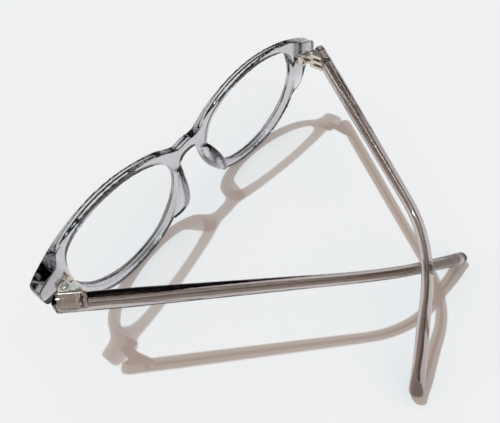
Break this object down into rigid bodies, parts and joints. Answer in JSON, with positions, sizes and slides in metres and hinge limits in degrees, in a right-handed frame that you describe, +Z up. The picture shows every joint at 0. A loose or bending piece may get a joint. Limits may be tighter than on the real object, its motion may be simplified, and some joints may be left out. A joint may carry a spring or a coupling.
{
  "type": "eyeglasses",
  "caption": "Clear grey acetate eyeglasses with clear lenses, a saddle bridge and taupe hinged temples, both half folded and crossing.",
  "frame": {"origin": "on the surface it stands on, in the middle of the plan footprint at rest", "axes": "+X to the wearer's left, +Y from the front towards the temple tips, +Z up"},
  "size_m": [0.1395, 0.107, 0.0421],
  "materials": {
    "grey_acetate": "clear grey acetate, polished",
    "taupe_acetate": "translucent taupe acetate, polished",
    "clear_lens": "clear demo lens, polished",
    "hinge_metal": "satin nickel silver",
    "screw_metal": "bright steel",
    "core_metal": "drawn nickel silver wire"
  },
  "bodies": {
    "front": {"front_frame": "grey_acetate", "left_lens": "clear_lens", "left_nose_pad": "grey_acetate", "left_front_hinge": "hinge_metal", "left_front_rivets": "hinge_metal", "right_lens": "clear_lens", "right_nose_pad": "grey_acetate", "right_front_hinge": "hinge_metal", "right_front_rivets": "hinge_metal"},
    "left_arm": {"left_temple": "taupe_acetate", "left_wire_core": "core_metal", "left_temple_hinge": "hinge_metal", "left_temple_rivets": "hinge_metal", "left_hinge_screw": "screw_metal"},
    "right_arm": {"right_temple": "taupe_acetate", "right_wire_core": "core_metal", "right_temple_hinge": "hinge_metal", "right_temple_rivets": "hinge_metal", "right_hinge_screw": "screw_metal"}
  },
  "joints": [
    {"name": "left_fold", "type": "hinge", "parent": "front", "child": "left_arm", "pos_m": [0.0633, -0.0387, 0.0315], "axis": [0, -0.1045, 0.9945], "range_deg": [0, 41.4]},
    {"name": "right_fold", "type": "hinge", "parent": "front", "child": "right_arm", "pos_m": [-0.0633, -0.0387, 0.0315], "axis": [0, 0.1045, -0.9945], "range_deg": [-37.5, 0]}
  ]
}
